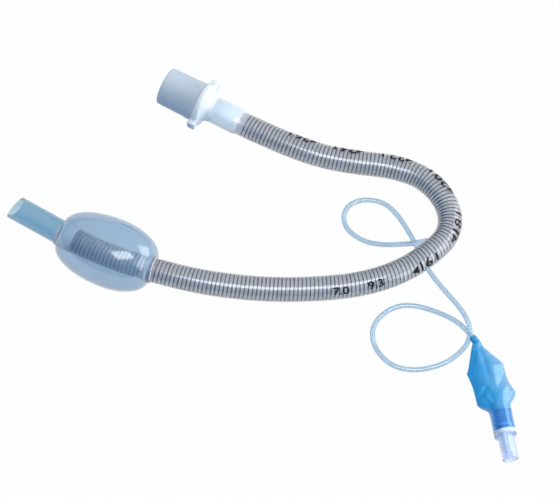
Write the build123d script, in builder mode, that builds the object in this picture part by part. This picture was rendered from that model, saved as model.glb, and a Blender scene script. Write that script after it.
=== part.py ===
"""Wire-reinforced oral endotracheal tube with an inflated cuff, lying as it comes to rest. Millimetres."""

from build123d import *
from math import cos, pi, radians, sin, tan
import os

os.makedirs("parts", exist_ok=True)

# Tube size: an adult 7.0 tube
TUBE_ID = 7.0
TUBE_OD = 9.3
LAY_HEIGHT = 13.25  # the cuff's axis stands this high when the cuff lies on a table

# Where the tube lies: its axis from the connector's flange, round the bend, to the tip
FLANGE_CENTRE = Vector(-13.8, 34.15, 8.7)
TUBE_CORNERS = [
    Vector(5.6, 23.8, 7.8),
    Vector(27, 14, 6.8),
    Vector(42.5, 10.5, 5.8),
    Vector(59, 9, 5.0),
    Vector(70.5, 5.2, 4.65),
    Vector(77.8, -2, 4.65),
    Vector(81.5, -11, 4.9),
    Vector(80.3, -20, 6.0),
    Vector(74, -27.3, 7.4),
    Vector(63.5, -35.5, 8.9),
    Vector(49, -41.2, 9.8),
    Vector(33.5, -43.6, 10.6),
    Vector(15.5, -44.4, 11.3),
    Vector(-2, -43.3, 12.3),
    Vector(-20.5, -40.2, 13.1),
    Vector(-49.5, -30.9, LAY_HEIGHT),
]
TIP_END = Vector(-84.3, -10.5, LAY_HEIGHT)
BEND_SHARE = 0.45  # of a run between two corners, for each one's arc
TUBE_END_SHARE = 0.9  # of the first and last run, which have one arc each

# Connector, a 15 mm male cone
CONE_LENGTH = 15.0
CONE_TIP_R = 7.45
CONE_BASE_R = 7.62
CONE_STEP = 3.0  # the plain band between the cone and the flange
CONE_STEP_R = 7.75
CONE_EDGE = 0.4  # taken off the edges of the cone's mouth
CONE_BORE_R = 6.0
CONE_BORE_DEPTH = 12.0
FLANGE_R = 8.6
FLANGE_THICKNESS = 3.2
FLANGE_FRONT_ROUND = 0.7
FLANGE_BACK_ROUND = 1.1
NECK_LENGTH = 3.2
NECK_R = 5.1
NECK_BAND = 0.6  # the neck's straight stretch, before it flares out to the flange
LUG_REACH = 10.5
LUG_ROOT = 7.1  # inside the flange
LUG_WIDTH = 3.0
LUG_HEIGHT = 4.2
LUG_ROUND = 0.8
SPIGOT_R = 4.15
SPIGOT_LENGTH = 11.3
SPIGOT_LEAD = 1.5  # the taper at the spigot's end
AIRWAY_R = 3.3

# Tube wall: the machine end is stretched over the spigot, and the coil ends short of the tip
SLEEVE_R = 5.15
SLEEVE_LENGTH = 12.3
SLEEVE_TAPER = 1.2
SLEEVE_EDGE = 0.3
WALL_OVERLAP = 0.3  # where the stretched end and the wound stretch run into each other
COIL_INNER_R = 3.85
COIL_OUTER_R = 4.35
COIL_END = 11.0  # past the last corner
WALL_END = 11.5  # past the last corner

# Tip
BEVEL_ANGLE = 57.0
MOUTH_ROUND = 0.3

# Cuff, inflated
CUFF_R = 13.15
CUFF_NEAR = 10.3  # the barrel's ends, past the last two corners
CUFF_FAR = 16.8
CUFF_FILM = 0.3
CROWN_SHARE = 0.46  # of the barrel's length, from its machine end to where it is widest
COLLAR_R = 5.1
THROAT_R = 4.85  # where the barrel's film meets its collars
COLLAR_LENGTH = 0.8  # outside the barrel
COLLAR_INSIDE = 6.0  # turned inwards, where the film is bonded to the wall
FIT_GAP = 0.02  # between pieces that are bonded, stretched or pressed together

# Inflation line
LINE_OD = 1.95
LINE_ID = 1.0
BOND_R = 1.7
BOND_LIP = 0.1  # how far the bond's thin end stands over the line
BOND_LENGTH = 5.0
LINE_ROUTE = [
    Vector(67.2, -23.3, 5.6),
    Vector(61.5, -23, 3.8),
    Vector(55, -22.4, 2.0),
    Vector(48, -20.4, 1.1),
    Vector(42.3, -15.8, 1),
    Vector(40.8, -10.5, 1),
    Vector(42.6, -6, 1),
    Vector(46.6, -3.6, 1),
    Vector(51.5, -3.2, 1),
    Vector(57.2, -4.8, 1),
    Vector(62, -10, 1),
    Vector(67.5, -20, 1),
    Vector(72, -31.5, 1),
    Vector(78, -40, 1),
    Vector(85, -48.5, 1),
    Vector(88, -56, 1),
    Vector(86, -63, 1),
    Vector(77.5, -70, 1),
    Vector(66, -72.5, 1),
    Vector(57, -70, 1),
    Vector(51, -62, 1),
    Vector(51.5, -53.5, 1),
    Vector(58, -47.5, 1),
    Vector(65.5, -46, 1),
    Vector(74.5, -48.7, 1.3),
    Vector(81.5, -52.8, 2.8),
    Vector(85.6, -56.8, 3.8),
    Vector(89.3, -62.3, 4.2),
]

# Pilot balloon: each section is its centre, half width, half height and the way it faces from +X
BALLOON_HEIGHT = 4.2
BALLOON_FILM = 0.4
NECK_TUBE_R = 1.45
NECK_TUBE_LENGTH = 3.0
LINE_IN_NECK = 2.5
NECK_TUBE_INSIDE = 0.5  # the neck's bore opens this far into the pouch
BALLOON_SECTIONS = [
    (90.6, -67.2, 4.1, 2.7, -70),
    (92.3, -72.4, 6.8, 3.4, -74),
    (94.5, -80, 7.2, 3.9, -74),
    (95.9, -84.6, 6.9, 4.1, -76),
]
SLEEVE_START = Vector(96.9, -88.3, BALLOON_HEIGHT)
VALVE_ANGLE = -80.5
VALVE_SLEEVE_R = 4.15
VALVE_SLEEVE_LENGTH = 9.7

# Valve, measured along its axis from the sleeve's mouth: plus is out of the sleeve
HOUSING_R = 3.65
HOUSING_REAR_R = 3.3  # of the stretch that stands in the pouch
HOUSING_REAR_CONE = 0.3
HOUSING_BACK = -11.6
COLLAR_FRONT = 1.0
HOUSING_EDGE = 0.2
LUER_R = 3.0
LUER_FRONT = 9.7
LUER_MOUTH_R = 2.14
LUER_TAPER = 0.03  # radius lost for each millimetre of depth, a 6 % taper
CHAMBER_R = 2.7
SEAT_BACK = -2.6
SEAT_FRONT = -1.4
SEAT_R = 1.8
STEM_R = 1.5
STEM_NECK_R = 1.05
STEM_FRONT = 6.4
STEM_CONE = 0.5  # between the stem's neck and its full radius
STEM_EDGE = 0.2
FLUTE_R = 0.55
FLUTES = 4
SEAL_THICKNESS = 0.5
SEAL_R = 2.35
HEAD_THICKNESS = 0.7
SPRING_MEAN_R = 1.65
SPRING_WIRE_R = 0.19
SPRING_TURNS = 5
SPRING_SIDES = 6  # the wire's section
TAIL_FLANGE = 1.1
TAIL_PLUG = 0.8
TAIL_BORE_R = 0.9
TAIL_EDGE = 0.5


def unit(start, end):
    """The direction from one point to another."""
    return (end - start).normalized()


def bend_radii(points, end_share=BEND_SHARE):
    """The arc at each corner, as large as its two runs leave room for. An end run serves one arc only."""
    runs = [(b - a).length for a, b in zip(points, points[1:])]
    room = [run * BEND_SHARE for run in runs]
    room[0] = runs[0] * end_share
    room[-1] = runs[-1] * end_share
    turns = [(b - a).get_angle(c - b) for a, b, c in zip(points, points[1:], points[2:])]
    return [min(pair) / tan(radians(turn / 2)) for pair, turn in zip(zip(room, room[1:]), turns)]


def across(point, along):
    """The plane square to a direction at a point."""
    return Plane(origin=point, z_dir=along)


def half_plane(point, along):
    """A plane through an axis: its x is the radius, upwards, and its y runs along the axis."""
    radius = (Vector(0, 0, 1) - along * along.Z).normalized()
    return Plane(origin=point, x_dir=radius, z_dir=radius.cross(along))


# The tube's straight ends and the points where its pieces meet
machine_dir = unit(TUBE_CORNERS[0], FLANGE_CENTRE)
tip_dir = unit(TUBE_CORNERS[-1], TIP_END)
sleeve_start = FLANGE_CENTRE - machine_dir * (FLANGE_THICKNESS + NECK_LENGTH)
coil_start = sleeve_start - machine_dir * (SLEEVE_LENGTH + WALL_OVERLAP)
coil_end = TUBE_CORNERS[-1] + tip_dir * COIL_END
wall_end = TUBE_CORNERS[-1] + tip_dir * WALL_END
tube_radii = bend_radii([coil_start, *TUBE_CORNERS, coil_end], end_share=TUBE_END_SHARE)

# Connector: one moulding with its cone, flange, two lugs and spigot
flange_back = -FLANGE_THICKNESS
neck_back = flange_back - NECK_LENGTH
spigot_end = neck_back - SPIGOT_LENGTH
flare_start = neck_back + NECK_BAND
flare_r = FLANGE_R - FLANGE_BACK_ROUND
connector_section = half_plane(FLANGE_CENTRE, machine_dir)
lug_plane = Plane(
    origin=FLANGE_CENTRE - machine_dir * FLANGE_THICKNESS,
    x_dir=machine_dir.cross(Vector(0, 0, 1)),
    z_dir=machine_dir,
)

with BuildPart() as connector:
    with BuildSketch(connector_section):
        with BuildLine():
            Polyline(
                (AIRWAY_R, spigot_end),
                (SPIGOT_R - CONE_EDGE, spigot_end),
                (SPIGOT_R, spigot_end + SPIGOT_LEAD),
                (SPIGOT_R, neck_back),
                (NECK_R, neck_back),
                (NECK_R, flare_start),
            )
            EllipticalCenterArc(
                (flare_r, flare_start),
                flare_r - NECK_R,
                flange_back - flare_start,
                start_angle=90,
                arc_size=90,
            )
            RadiusArc((flare_r, flange_back), (FLANGE_R, flange_back + FLANGE_BACK_ROUND), -FLANGE_BACK_ROUND)
            Line((FLANGE_R, flange_back + FLANGE_BACK_ROUND), (FLANGE_R, -FLANGE_FRONT_ROUND))
            RadiusArc((FLANGE_R, -FLANGE_FRONT_ROUND), (CONE_STEP_R, 0), -FLANGE_FRONT_ROUND)
            Polyline(
                (CONE_STEP_R, 0),
                (CONE_STEP_R, CONE_STEP),
                (CONE_BASE_R, CONE_STEP),
                (CONE_TIP_R, CONE_LENGTH - CONE_EDGE),
                (CONE_TIP_R - CONE_EDGE, CONE_LENGTH),
                (CONE_BORE_R + CONE_EDGE, CONE_LENGTH),
                (CONE_BORE_R, CONE_LENGTH - CONE_EDGE),
                (CONE_BORE_R, CONE_LENGTH - CONE_BORE_DEPTH),
                (AIRWAY_R, neck_back),
                (AIRWAY_R, spigot_end),
            )
        make_face()
    revolve(axis=Axis(FLANGE_CENTRE, machine_dir))
    lug_mid = (LUG_REACH + LUG_ROOT) / 2
    with BuildSketch(lug_plane):
        with Locations((lug_mid, 0), (-lug_mid, 0)):
            RectangleRounded(LUG_REACH - LUG_ROOT, LUG_HEIGHT, LUG_ROUND)
    extrude(amount=LUG_WIDTH)

# Tube wall: clear, with a room inside it for the coil, and its machine end stretched over the spigot
with BuildPart() as shaft_wall:
    with BuildLine() as wall_line:
        FilletPolyline(coil_start, *TUBE_CORNERS, wall_end, radius=tube_radii)
    with BuildSketch(across(coil_start, -machine_dir)):
        Circle(TUBE_OD / 2)
    sweep()
    with BuildSketch(half_plane(sleeve_start, -machine_dir)):
        with BuildLine():
            Polyline(
                (SPIGOT_R + FIT_GAP, 0),
                (SLEEVE_R - SLEEVE_EDGE, 0),
                (SLEEVE_R, SLEEVE_EDGE),
                (SLEEVE_R, SLEEVE_LENGTH - SLEEVE_TAPER),
                (TUBE_OD / 2, SLEEVE_LENGTH),
                (TUBE_OD / 2, SLEEVE_LENGTH + WALL_OVERLAP),
                (TUBE_ID / 2, SLEEVE_LENGTH + WALL_OVERLAP),
                (SPIGOT_R + FIT_GAP, SPIGOT_LENGTH + FIT_GAP),
                (SPIGOT_R + FIT_GAP, 0),
            )
        make_face()
    revolve(axis=Axis(sleeve_start, machine_dir))
    with BuildLine() as lumen_line:
        FilletPolyline(coil_start, *TUBE_CORNERS, wall_end, radius=tube_radii)
    with BuildSketch(across(coil_start, -machine_dir)):
        Circle(TUBE_ID / 2)
    sweep(mode=Mode.SUBTRACT)
    with BuildLine() as coil_room_line:
        FilletPolyline(coil_start, *TUBE_CORNERS, coil_end, radius=tube_radii)
    with BuildSketch(across(coil_start, -machine_dir)):
        Circle(COIL_OUTER_R)
        Circle(COIL_INNER_R, mode=Mode.SUBTRACT)
    sweep(mode=Mode.SUBTRACT)

# Reinforcing coil: the room that the wound wire fills
with BuildPart() as wire_coil:
    with BuildLine() as coil_line:
        FilletPolyline(coil_start, *TUBE_CORNERS, coil_end, radius=tube_radii)
    with BuildSketch(across(coil_start, -machine_dir)):
        Circle(COIL_OUTER_R)
        Circle(COIL_INNER_R, mode=Mode.SUBTRACT)
    sweep()

# Tip: soft and free of wire, bonded on, its mouth cut on a bevel that faces up
tip_length = (TIP_END - wall_end).length
bevel_dir = tip_dir * sin(radians(BEVEL_ANGLE)) + Vector(0, 0, 1) * cos(radians(BEVEL_ANGLE))
bevel_plane = Plane(origin=TIP_END - Vector(0, 0, TUBE_OD / 2), z_dir=bevel_dir)

with BuildPart() as tip:
    with BuildSketch(across(wall_end, tip_dir)):
        Circle(TUBE_OD / 2)
        Circle(TUBE_ID / 2, mode=Mode.SUBTRACT)
    extrude(amount=tip_length)
    split(bisect_by=bevel_plane, keep=Keep.BOTTOM)
    fillet(tip.faces().sort_by(Axis(TIP_END, bevel_dir))[-1].edges(), MOUTH_ROUND)

# Cuff: a blown film barrel with a bonded collar at each end
proximal_run = unit(TUBE_CORNERS[-2], TUBE_CORNERS[-1])
cuff_near = TUBE_CORNERS[-2] + proximal_run * CUFF_NEAR
cuff_far = TUBE_CORNERS[-1] + tip_dir * CUFF_FAR
cuff_dir = unit(cuff_near, cuff_far)
cuff_middle = (cuff_near + cuff_far) / 2
barrel_half = (cuff_far - cuff_near).length / 2
crown = (2 * CROWN_SHARE - 1) * barrel_half
collar_bore_r = TUBE_OD / 2 + FIT_GAP

with BuildPart() as cuff:
    for skin, mode in ((0, Mode.ADD), (CUFF_FILM, Mode.SUBTRACT)):
        end = barrel_half - skin
        rise = CUFF_R - skin - THROAT_R
        with BuildSketch(half_plane(cuff_middle, cuff_dir)):
            with BuildLine():
                Line((0, -end), (THROAT_R, -end))
                EllipticalCenterArc((THROAT_R, crown), rise, crown + end, start_angle=270, arc_size=90)
                EllipticalCenterArc((THROAT_R, crown), rise, end - crown, start_angle=0, arc_size=90)
                Polyline((THROAT_R, end), (0, end), (0, -end))
            make_face()
        revolve(axis=Axis(cuff_middle, cuff_dir), mode=mode)
    for point, along in ((cuff_near, -proximal_run), (cuff_far, tip_dir)):
        start = point - along * COLLAR_INSIDE
        with BuildSketch(across(start, along)):
            Circle(COLLAR_R)
        extrude(amount=COLLAR_INSIDE + COLLAR_LENGTH)
        with BuildSketch(across(start, along)):
            Circle(collar_bore_r)
        extrude(amount=COLLAR_INSIDE + COLLAR_LENGTH, mode=Mode.SUBTRACT)

# Bond: a drop of moulded plastic that carries the inflation line into the wall
line_dir = unit(LINE_ROUTE[0], LINE_ROUTE[1])
bond_root = LINE_ROUTE[0] - line_dir * BOND_LENGTH

with BuildPart() as line_bond:
    with BuildSketch(across(bond_root, line_dir)):
        Circle(BOND_R)
    with BuildSketch(across(LINE_ROUTE[0], line_dir)):
        Circle(LINE_OD / 2 + BOND_LIP)
    loft()
    with BuildLine() as bend_line:
        FilletPolyline(*TUBE_CORNERS[5:11], radius=tube_radii[6:10])
    with BuildSketch(across(TUBE_CORNERS[5], unit(TUBE_CORNERS[5], TUBE_CORNERS[6]))):
        Circle(TUBE_OD / 2)
    sweep(mode=Mode.SUBTRACT)

# Inflation line: small soft tubing from the bond to the pilot balloon's neck
line_radii = bend_radii(LINE_ROUTE)

with BuildPart() as inflation_line:
    with BuildLine() as line_path:
        FilletPolyline(*LINE_ROUTE, radius=line_radii)
    with BuildSketch(across(LINE_ROUTE[0], line_dir)):
        Circle(LINE_OD / 2)
        Circle(LINE_ID / 2, mode=Mode.SUBTRACT)
    sweep()

# Pilot balloon: a flat film pouch between a neck tube and a sleeve that holds the valve
neck_dir = unit(LINE_ROUTE[-2], LINE_ROUTE[-1])
neck_mouth = LINE_ROUTE[-1] - neck_dir * LINE_IN_NECK
neck_back_end = neck_mouth + neck_dir * NECK_TUBE_LENGTH
valve_dir = Vector(cos(radians(VALVE_ANGLE)), sin(radians(VALVE_ANGLE)), 0)
valve_origin = SLEEVE_START + valve_dir * VALVE_SLEEVE_LENGTH

with BuildPart() as pilot_balloon:
    for skin, mode in ((0, Mode.ADD), (BALLOON_FILM, Mode.SUBTRACT)):
        with BuildSketch(across(neck_back_end, neck_dir)):
            Circle(NECK_TUBE_R - skin)
        for x, y, half_width, half_height, facing in BALLOON_SECTIONS:
            forward = Vector(cos(radians(facing)), sin(radians(facing)), 0)
            sideways = Vector(0, 0, 1).cross(forward)
            with BuildSketch(Plane(Vector(x, y, BALLOON_HEIGHT), x_dir=sideways, z_dir=forward)):
                Ellipse(half_width - skin, half_height - skin)
        with BuildSketch(across(SLEEVE_START, valve_dir)):
            Circle(VALVE_SLEEVE_R - skin)
        loft(mode=mode)
    with BuildSketch(across(neck_mouth, neck_dir)):
        Circle(NECK_TUBE_R)
    extrude(amount=NECK_TUBE_LENGTH)
    with BuildSketch(across(neck_mouth, neck_dir)):
        Circle(LINE_OD / 2 + FIT_GAP)
    extrude(amount=NECK_TUBE_LENGTH + NECK_TUBE_INSIDE, mode=Mode.SUBTRACT)
    with BuildSketch(across(SLEEVE_START, valve_dir)):
        Circle(VALVE_SLEEVE_R)
        Circle(HOUSING_R + FIT_GAP, mode=Mode.SUBTRACT)
    extrude(amount=VALVE_SLEEVE_LENGTH)

# Valve housing: luer socket in front, seat in the middle, spring chamber behind
valve_section = half_plane(valve_origin, valve_dir)
valve_axis = Axis(valve_origin, valve_dir)
luer_seat_r = LUER_MOUTH_R - LUER_TAPER * (LUER_FRONT - SEAT_FRONT)

with BuildPart() as valve_housing:
    with BuildSketch(valve_section):
        with BuildLine():
            Polyline(
                (CHAMBER_R, HOUSING_BACK),
                (HOUSING_REAR_R, HOUSING_BACK),
                (HOUSING_REAR_R, -VALVE_SLEEVE_LENGTH),
                (HOUSING_R, HOUSING_REAR_CONE - VALVE_SLEEVE_LENGTH),
                (HOUSING_R, 0),
                (VALVE_SLEEVE_R, 0),
                (VALVE_SLEEVE_R, COLLAR_FRONT - HOUSING_EDGE),
                (VALVE_SLEEVE_R - HOUSING_EDGE, COLLAR_FRONT),
                (LUER_R, COLLAR_FRONT),
                (LUER_R, LUER_FRONT - HOUSING_EDGE),
                (LUER_R - HOUSING_EDGE, LUER_FRONT),
                (LUER_MOUTH_R, LUER_FRONT),
                (luer_seat_r, SEAT_FRONT),
                (SEAT_R, SEAT_FRONT),
                (SEAT_R, SEAT_BACK),
                (CHAMBER_R, SEAT_BACK),
                (CHAMBER_R, HOUSING_BACK),
            )
        make_face()
    revolve(axis=valve_axis)

# Valve tail: a plug in the chamber's open end that the spring stands on
tail_back = HOUSING_BACK - TAIL_FLANGE
tail_front = HOUSING_BACK + TAIL_PLUG

with BuildPart() as valve_tail:
    with BuildSketch(valve_section):
        with BuildLine():
            Polyline(
                (TAIL_BORE_R, tail_back),
                (HOUSING_REAR_R - TAIL_EDGE, tail_back),
                (HOUSING_REAR_R, tail_back + TAIL_EDGE),
                (HOUSING_REAR_R, HOUSING_BACK),
                (CHAMBER_R - FIT_GAP, HOUSING_BACK),
                (CHAMBER_R - FIT_GAP, tail_front),
                (TAIL_BORE_R, tail_front),
                (TAIL_BORE_R, tail_back),
            )
        make_face()
    revolve(axis=valve_axis)

# Valve plunger: a stem that a syringe's tip pushes, and a head that the spring pushes back
seal_back = SEAT_BACK - FIT_GAP - SEAL_THICKNESS
head_back = seal_back - HEAD_THICKNESS

with BuildPart() as valve_plunger:
    with BuildSketch(valve_section):
        with BuildLine():
            Polyline(
                (0, head_back),
                (SEAL_R, head_back),
                (SEAL_R, seal_back),
                (STEM_NECK_R, seal_back),
                (STEM_NECK_R, SEAT_BACK),
                (STEM_R, SEAT_BACK + STEM_CONE),
                (STEM_R, STEM_FRONT - STEM_EDGE),
                (STEM_R - STEM_EDGE, STEM_FRONT),
                (0, STEM_FRONT),
                (0, head_back),
            )
        make_face()
    revolve(axis=valve_axis)
    with BuildSketch(across(valve_origin + valve_dir * STEM_FRONT, -valve_dir)):
        with PolarLocations(STEM_R, FLUTES):
            Circle(FLUTE_R)
    extrude(amount=STEM_FRONT - SEAT_BACK, mode=Mode.SUBTRACT)

# Valve seal: a rubber washer on the plunger that shuts the seat
with BuildPart() as valve_seal:
    with BuildSketch(across(valve_origin + valve_dir * seal_back, valve_dir)):
        Circle(SEAL_R)
        Circle(STEM_NECK_R, mode=Mode.SUBTRACT)
    extrude(amount=SEAL_THICKNESS)

# Valve spring: steel, from the tail to the plunger's head
spring_room = head_back - tail_front
spring_rise = spring_room - 2 * (SPRING_WIRE_R + FIT_GAP)
spring_foot = valve_origin + valve_dir * (tail_front + SPRING_WIRE_R + FIT_GAP)

with BuildPart() as valve_spring:
    with BuildLine() as spring_line:
        Helix(spring_rise / SPRING_TURNS, spring_rise, SPRING_MEAN_R, spring_foot, valve_dir)
    with BuildSketch(across(spring_line.wires()[0] @ 0, spring_line.wires()[0] % 0)):
        RegularPolygon(SPRING_WIRE_R, SPRING_SIDES)
    sweep(is_frenet=True)

pieces = {
    "connector": connector,
    "shaft_wall": shaft_wall,
    "wire_coil": wire_coil,
    "tip": tip,
    "cuff": cuff,
    "line_bond": line_bond,
    "inflation_line": inflation_line,
    "pilot_balloon": pilot_balloon,
    "valve_housing": valve_housing,
    "valve_tail": valve_tail,
    "valve_plunger": valve_plunger,
    "valve_seal": valve_seal,
    "valve_spring": valve_spring,
}
for name, piece in pieces.items():
    piece.part.label = name
    export_step(piece.part, f"parts/{name}.step")

line_length = line_path.wires()[0].length
line_section = pi * (LINE_OD**2 - LINE_ID**2) / 4
print("tube length from flange to tip", round(wall_line.wires()[0].length + tip_length, 1))
print("tube bend radii", [round(radius, 1) for radius in tube_radii])
print("line length", round(line_length, 1), "radii", [round(radius, 1) for radius in line_radii])
print("line volume", round(inflation_line.part.volume, 1))
print("line section x length", round(line_section * line_length, 1))
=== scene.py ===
from bisect import bisect_right
from math import cos, exp, log, pi, radians, sin, tau

import bmesh
import bpy
from mathutils import Matrix, Vector


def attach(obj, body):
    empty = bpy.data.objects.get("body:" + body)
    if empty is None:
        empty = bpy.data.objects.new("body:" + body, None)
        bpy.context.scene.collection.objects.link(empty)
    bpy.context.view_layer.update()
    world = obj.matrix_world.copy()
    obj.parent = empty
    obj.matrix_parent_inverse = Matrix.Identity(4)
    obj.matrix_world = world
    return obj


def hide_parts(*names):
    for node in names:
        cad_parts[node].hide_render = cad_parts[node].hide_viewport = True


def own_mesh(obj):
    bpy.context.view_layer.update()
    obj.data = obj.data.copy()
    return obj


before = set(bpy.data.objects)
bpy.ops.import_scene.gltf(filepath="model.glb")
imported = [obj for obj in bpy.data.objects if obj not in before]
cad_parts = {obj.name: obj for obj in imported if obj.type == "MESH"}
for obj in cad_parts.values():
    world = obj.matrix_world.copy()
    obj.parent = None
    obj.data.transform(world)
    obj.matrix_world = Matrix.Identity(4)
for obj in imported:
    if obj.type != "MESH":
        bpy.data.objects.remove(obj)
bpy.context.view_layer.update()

scene = bpy.context.scene
scene.view_settings.view_transform = "Standard"

# The line that the tube lies along. The wall is extruded round the coil and set in a curve, so its
# middle runs through these places, in millimetres, from the connector's flange to the tip.
MM = 0.001
FLANGE_CENTRE = (-13.8, 34.15, 8.7)
TUBE_CORNERS = [
    (5.6, 23.8, 7.8),
    (27, 14, 6.8),
    (42.5, 10.5, 5.8),
    (59, 9, 5.0),
    (70.5, 5.2, 4.65),
    (77.8, -2, 4.65),
    (81.5, -11, 4.9),
    (80.3, -20, 6.0),
    (74, -27.3, 7.4),
    (63.5, -35.5, 8.9),
    (49, -41.2, 9.8),
    (33.5, -43.6, 10.6),
    (15.5, -44.4, 11.3),
    (-2, -43.3, 12.3),
    (-20.5, -40.2, 13.1),
    (-49.5, -30.9, 13.25),
]
TIP_END = (-84.3, -10.5, 13.25)
STRAIGHT_START = 14 * MM  # the tube runs straight for a stretch at each end
STRAIGHT_END = 21.6 * MM
CURVE_STEPS = 24  # from one control point to the next


def metres(point):
    """A place given in millimetres."""
    return Vector(point) * MM


def spline_object(name, points):
    """A curve object whose line is smooth, with the points as its control points."""
    data = bpy.data.curves.new(name, "CURVE")
    data.dimensions = "3D"
    data.resolution_u = CURVE_STEPS
    spline = data.splines.new("NURBS")
    spline.points.add(len(points) - 1)
    for place, point in zip(spline.points, points):
        place.co = (*point, 1)
    spline.order_u = 3
    spline.use_endpoint_u = True
    curve = bpy.data.objects.new(name, data)
    scene.collection.objects.link(curve)
    return curve


def place_along(point, along):
    """A place at a point with its X level, its Y upwards and its Z along a direction."""
    side = along.cross(Vector((0, 0, 1))).normalized()
    place = Matrix((side, side.cross(along), along)).transposed().to_4x4()
    place.translation = point
    return place


class Line:
    """A smooth line through space, read by its length from its start."""

    def __init__(self, points):
        curve = spline_object("line", points)
        mesh = bpy.data.meshes.new_from_object(curve)
        self.points = [vertex.co.copy() for vertex in mesh.vertices]
        bpy.data.meshes.remove(mesh)
        bpy.data.objects.remove(curve)
        self.lengths = [0.0]
        for start, end in zip(self.points, self.points[1:]):
            self.lengths.append(self.lengths[-1] + (end - start).length)
        self.length = self.lengths[-1]

    def at(self, length):
        """The place at a length from the start."""
        step = min(max(bisect_right(self.lengths, length) - 1, 0), len(self.points) - 2)
        start, end = self.points[step], self.points[step + 1]
        share = (length - self.lengths[step]) / (self.lengths[step + 1] - self.lengths[step])
        return place_along(start.lerp(end, share), (end - start).normalized())


flange = metres(FLANGE_CENTRE)
corners = [metres(corner) for corner in TUBE_CORNERS]
tip_end = metres(TIP_END)
machine_dir = (flange - corners[0]).normalized()
tip_dir = (tip_end - corners[-1]).normalized()
tube = Line(
    [flange, flange - machine_dir * STRAIGHT_START, *corners, corners[-1] + tip_dir * STRAIGHT_END, tip_end]
)

# Reinforcing coil: hard steel wire wound close to the bore and bedded in the wall, from the end of
# the connector's spigot to just short of the soft tip.
WIRE_R = 0.24 * MM
COIL_R = 4.08 * MM
COIL_PITCH = 1.5 * MM
COIL_START = 20.2 * MM  # past the flange
COIL_END = tube.length - 29.5 * MM  # the tip and a little wall lie past it
STEPS_A_TURN = 30
NOISE_DETAIL = 3.0
NOISE_LOW, NOISE_HIGH = 0.3, 0.7  # soft noise seldom passes these


def plain_material(name, colour, **values):
    """A material with one Principled shader, its sockets set by name."""
    material = bpy.data.materials.new(name)
    material.use_nodes = True
    shader = material.node_tree.nodes["Principled BSDF"]
    shader.inputs["Base Color"].default_value = (*colour, 1)
    for socket, value in values.items():
        shader.inputs[socket.replace("_", " ")].default_value = value
    return material, shader


def noise_between(material, scale, low, high):
    """Soft noise in the piece's own space, spread between two values: a number socket's source."""
    nodes, links = material.node_tree.nodes, material.node_tree.links
    place = nodes.new("ShaderNodeTexCoord")
    noise = nodes.new("ShaderNodeTexNoise")
    noise.inputs["Scale"].default_value = scale
    noise.inputs["Detail"].default_value = NOISE_DETAIL
    spread = nodes.new("ShaderNodeMapRange")
    spread.inputs["From Min"].default_value = NOISE_LOW
    spread.inputs["From Max"].default_value = NOISE_HIGH
    spread.inputs["To Min"].default_value = low
    spread.inputs["To Max"].default_value = high
    links.new(place.outputs["Object"], noise.inputs["Vector"])
    links.new(noise.outputs["Fac"], spread.inputs["Value"])
    return spread.outputs["Result"]


def uneven_gloss(material, shader, scale, low, high):
    """A roughness that soft noise carries from one value to another."""
    material.node_tree.links.new(noise_between(material, scale, low, high), shader.inputs["Roughness"])


def wound_wire(name, line, start, end, radius, pitch, wire_r, steps, roundness):
    """A round wire wound about a line from one length to another, with so many steps a turn, as a mesh."""
    data = bpy.data.curves.new(name, "CURVE")
    data.dimensions = "3D"
    data.bevel_depth = wire_r
    data.bevel_resolution = roundness
    data.use_fill_caps = True
    count = int((end - start) / pitch * steps)
    spline = data.splines.new("POLY")
    spline.points.add(count)
    for number, place in enumerate(spline.points):
        turn = tau * number / steps
        spot = line.at(start + pitch * number / steps)
        place.co = (*(spot @ Vector((radius * cos(turn), radius * sin(turn), 0))), 1)
    curve = bpy.data.objects.new(name, data)
    wire = bpy.data.objects.new(name, bpy.data.meshes.new_from_object(curve))
    bpy.data.objects.remove(curve)
    scene.collection.objects.link(wire)
    for face in wire.data.polygons:
        face.use_smooth = True
    return wire


steel, steel_shader = plain_material("coil_wire", (0.12, 0.145, 0.18), Metallic=0.8)
uneven_gloss(steel, steel_shader, scale=900, low=0.3, high=0.45)
coil = wound_wire(
    "reinforcing_coil", tube, start=COIL_START, end=COIL_END, radius=COIL_R, pitch=COIL_PITCH,
    wire_r=WIRE_R, steps=STEPS_A_TURN, roundness=1,
)
coil.data.materials.append(steel)
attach(coil, "tube")
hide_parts("wire_coil")

# Tube wall: clear soft PVC, faintly milky, with a glossy skin. Its machine end is stretched over the
# connector's spigot and stands a little proud there.
BORE_R = 3.5 * MM
WALL_R = 4.65 * MM
SLEEVE_R = 5.15 * MM  # where the spigot stretches the wall
SLEEVE_START = 6.4 * MM  # past the flange
SLEEVE_END = 18.7 * MM
SLEEVE_TAPER = 3.2 * MM
TAPER_STEPS = 8
SLEEVE_EDGE = 0.3 * MM
SPIGOT_ROOM_R = 4.08 * MM  # the bore fits the spigot closely, so that no film of air shows
SPIGOT_TAPER = 16.1 * MM
SPIGOT_NOSE = 17.7 * MM
SPIGOT_NOSE_R = 3.66 * MM
WALL_END = tube.length - 28.84 * MM  # the tip is as long as this
RING_STEP = 1.0 * MM
WALL_SIDES = 56
SKIN, BORE = 0, 1  # the wall's materials
COAT_ROUGHNESS = 0.08
MILK_ROUGHNESS = 0.35
MERGE = 1e-7


def mesh_object(name, shape):
    """A finished object from a bmesh, shaded smooth."""
    mesh = bpy.data.meshes.new(name)
    shape.to_mesh(mesh)
    shape.free()
    for face in mesh.polygons:
        face.use_smooth = True
    piece = bpy.data.objects.new(name, mesh)
    scene.collection.objects.link(piece)
    return piece


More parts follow.
